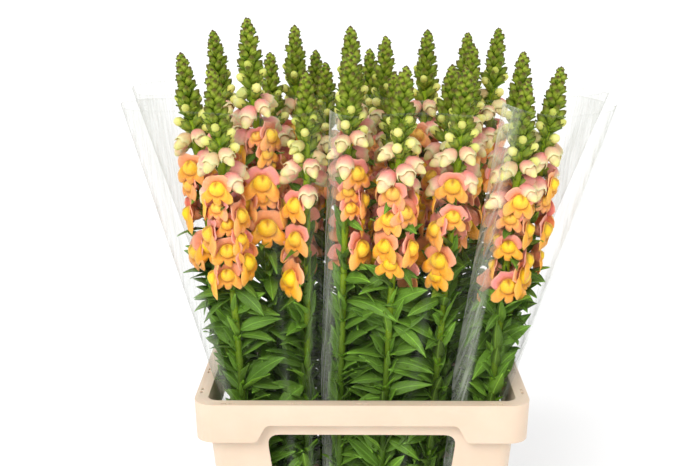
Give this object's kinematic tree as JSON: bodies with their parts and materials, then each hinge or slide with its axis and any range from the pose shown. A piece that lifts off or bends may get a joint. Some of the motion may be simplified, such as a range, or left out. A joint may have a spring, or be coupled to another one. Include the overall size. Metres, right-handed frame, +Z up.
{
  "type": "cut snapdragons in a flower container",
  "caption": "Tapered container with a window in each wall and shallow water, holding film-wrapped bunches of cut snapdragon stems that fan out above its rim.",
  "frame": {"origin": "centre of the container's underside", "axes": "+Z up, along the stems; the front of the container, with the long wall, faces -Y; +X to the right seen from the front"},
  "size_m": [0.621, 0.32, 0.806],
  "materials": {
    "container_plastic": "satin moulded cream",
    "water": "clear water",
    "film": "clear crinkled film",
    "foliage": "fresh green stems and leaves",
    "petals": "velvety apricot petals, paler above, with yellow palates"
  },
  "bodies": {
    "root": {"container": "container_plastic", "water": "water", "sleeve_left": "film", "sleeve_middle": "film", "sleeve_right": "film", "sleeve_back_left": "film", "sleeve_back_right": "film", "leafy_stem_01": "foliage", "flower_spike_01": "petals", "leafy_stem_02": "foliage", "flower_spike_02": "petals", "leafy_stem_03": "foliage", "flower_spike_03": "petals", "leafy_stem_04": "foliage", "flower_spike_04": "petals", "leafy_stem_05": "foliage", "flower_spike_05": "petals", "leafy_stem_06": "foliage", "flower_spike_06": "petals", "leafy_stem_07": "foliage", "flower_spike_07": "petals", "leafy_stem_08": "foliage", "flower_spike_08": "petals", "leafy_stem_09": "foliage", "flower_spike_09": "petals", "leafy_stem_10": "foliage", "flower_spike_10": "petals", "leafy_stem_11": "foliage", "flower_spike_11": "petals", "leafy_stem_12": "foliage", "flower_spike_12": "petals", "leafy_stem_13": "foliage", "flower_spike_13": "petals", "leafy_stem_14": "foliage", "flower_spike_14": "petals", "leafy_stem_15": "foliage", "flower_spike_15": "petals", "leafy_stem_16": "foliage", "flower_spike_16": "petals", "leafy_stem_17": "foliage", "flower_spike_17": "petals", "leafy_stem_18": "foliage", "flower_spike_18": "petals", "leafy_stem_19": "foliage", "flower_spike_19": "petals", "leafy_stem_20": "foliage", "flower_spike_20": "petals", "leafy_stem_21": "foliage", "flower_spike_21": "petals", "leafy_stem_22": "foliage", "flower_spike_22": "petals", "leafy_stem_23": "foliage", "flower_spike_23": "petals", "leafy_stem_24": "foliage", "flower_spike_24": "petals"}
  },
  "joints": []
}
